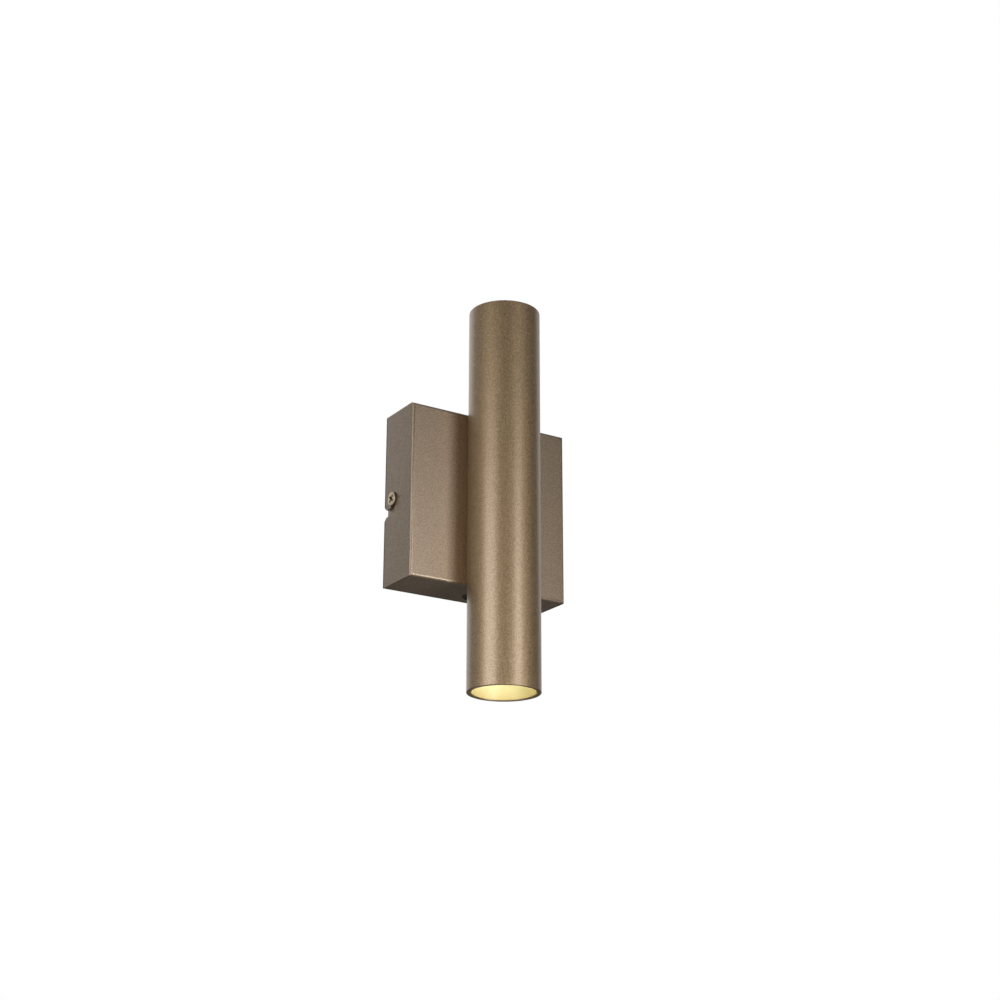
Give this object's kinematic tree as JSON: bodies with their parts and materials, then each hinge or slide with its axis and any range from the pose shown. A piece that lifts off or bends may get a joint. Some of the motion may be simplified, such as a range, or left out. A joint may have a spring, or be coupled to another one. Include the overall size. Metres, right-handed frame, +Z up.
{
  "type": "wall spotlight",
  "caption": "Up and down wall spotlight: a round tube, lit at both open ends, let into the front of a flat square box that hangs on a wall plate.",
  "frame": {"origin": "middle of the wall plate's back face, half way between the two wall slots", "axes": "+X to the right seen from the front, +Y into the wall, +Z up along the lamp tube"},
  "size_m": [0.1024, 0.065, 0.22],
  "materials": {
    "bronze_coat": "fine-grained bronze powder coat on steel, satin",
    "bronze_screw": "bronze-tone plated steel screw, satin",
    "zinc_steel": "bright zinc-plated steel, satin",
    "bare_aluminium": "cast aluminium, satin",
    "brass": "turned brass, satin",
    "tinned_copper": "tin-plated copper, satin",
    "black_rubber": "moulded black rubber, matte",
    "black_plastic": "moulded black plastic, matte",
    "white_plastic": "moulded white plastic, matte",
    "natural_plastic": "moulded natural nylon, matte",
    "white_reflector": "white moulded reflector, satin",
    "frosted_lens": "frosted translucent plastic, matte",
    "white_board": "white solder mask on an aluminium board, gloss",
    "led_phosphor": "yellow phosphor gel on white ceramic, gloss",
    "green_board": "green solder mask on glass-fibre board, satin",
    "green_header": "moulded green plastic, satin",
    "yellow_wrap": "yellow tape round a ferrite core, matte",
    "capacitor_sleeve": "black shrink sleeve, gloss",
    "brown_insulation": "brown insulation, satin",
    "blue_insulation": "blue insulation, satin",
    "green_yellow_insulation": "green and yellow insulation, satin",
    "red_insulation": "red insulation, satin",
    "black_insulation": "black insulation, satin"
  },
  "bodies": {
    "wall_bracket": {"wall_plate": "bronze_coat", "weld_nuts": "zinc_steel", "cable_grommet": "black_rubber"},
    "screw_left": {"cover_screw_left": "bronze_screw"},
    "screw_right": {"cover_screw_right": "bronze_screw"},
    "lamp": {"box_cover": "bronze_coat", "entry_grommet": "black_rubber", "tube_bracket": "zinc_steel", "lamp_tube": "bronze_coat", "backing_bar": "zinc_steel", "tube_screws": "zinc_steel", "tube_washers": "zinc_steel", "lead_bush": "black_plastic", "driver_case": "white_plastic", "driver_lid": "white_plastic", "driver_board": "green_board", "driver_transformer": "yellow_wrap", "driver_capacitor": "capacitor_sleeve", "mains_header": "green_header", "led_header": "green_header", "driver_screws": "zinc_steel", "terminal_block": "natural_plastic", "terminal_sleeves": "brass", "terminal_screws": "zinc_steel", "block_screws": "zinc_steel", "earth_screw": "zinc_steel", "earth_ring": "tinned_copper", "live_lead": "brown_insulation", "neutral_lead": "blue_insulation", "earth_lead": "green_yellow_insulation", "heat_sink_top": "bare_aluminium", "led_board_top": "white_board", "led_chip_top": "led_phosphor", "board_screws_top": "zinc_steel", "lens_top": "frosted_lens", "reflector_top": "white_reflector", "module_screw_top": "bronze_screw", "led_lead_plus_top": "red_insulation", "led_lead_minus_top": "black_insulation", "heat_sink_bottom": "bare_aluminium", "led_board_bottom": "white_board", "led_chip_bottom": "led_phosphor", "board_screws_bottom": "zinc_steel", "lens_bottom": "frosted_lens", "reflector_bottom": "white_reflector", "module_screw_bottom": "bronze_screw", "led_lead_plus_bottom": "red_insulation", "led_lead_minus_bottom": "black_insulation"}
  },
  "joints": [
    {"name": "cover_lift", "type": "slide", "parent": "wall_bracket", "child": "lamp", "axis": [0, 0, 1], "range_m": [0, 0.0067]},
    {"name": "cover_screw_left_turn", "type": "hinge", "parent": "wall_bracket", "child": "screw_left", "pos_m": [-0.05, -0.0095, -0.001], "axis": [-1, 0, 0], "range_deg": [0, 720]},
    {"name": "cover_screw_right_turn", "type": "hinge", "parent": "wall_bracket", "child": "screw_right", "pos_m": [0.05, -0.0095, -0.001], "axis": [1, 0, 0], "range_deg": [0, 720]}
  ]
}
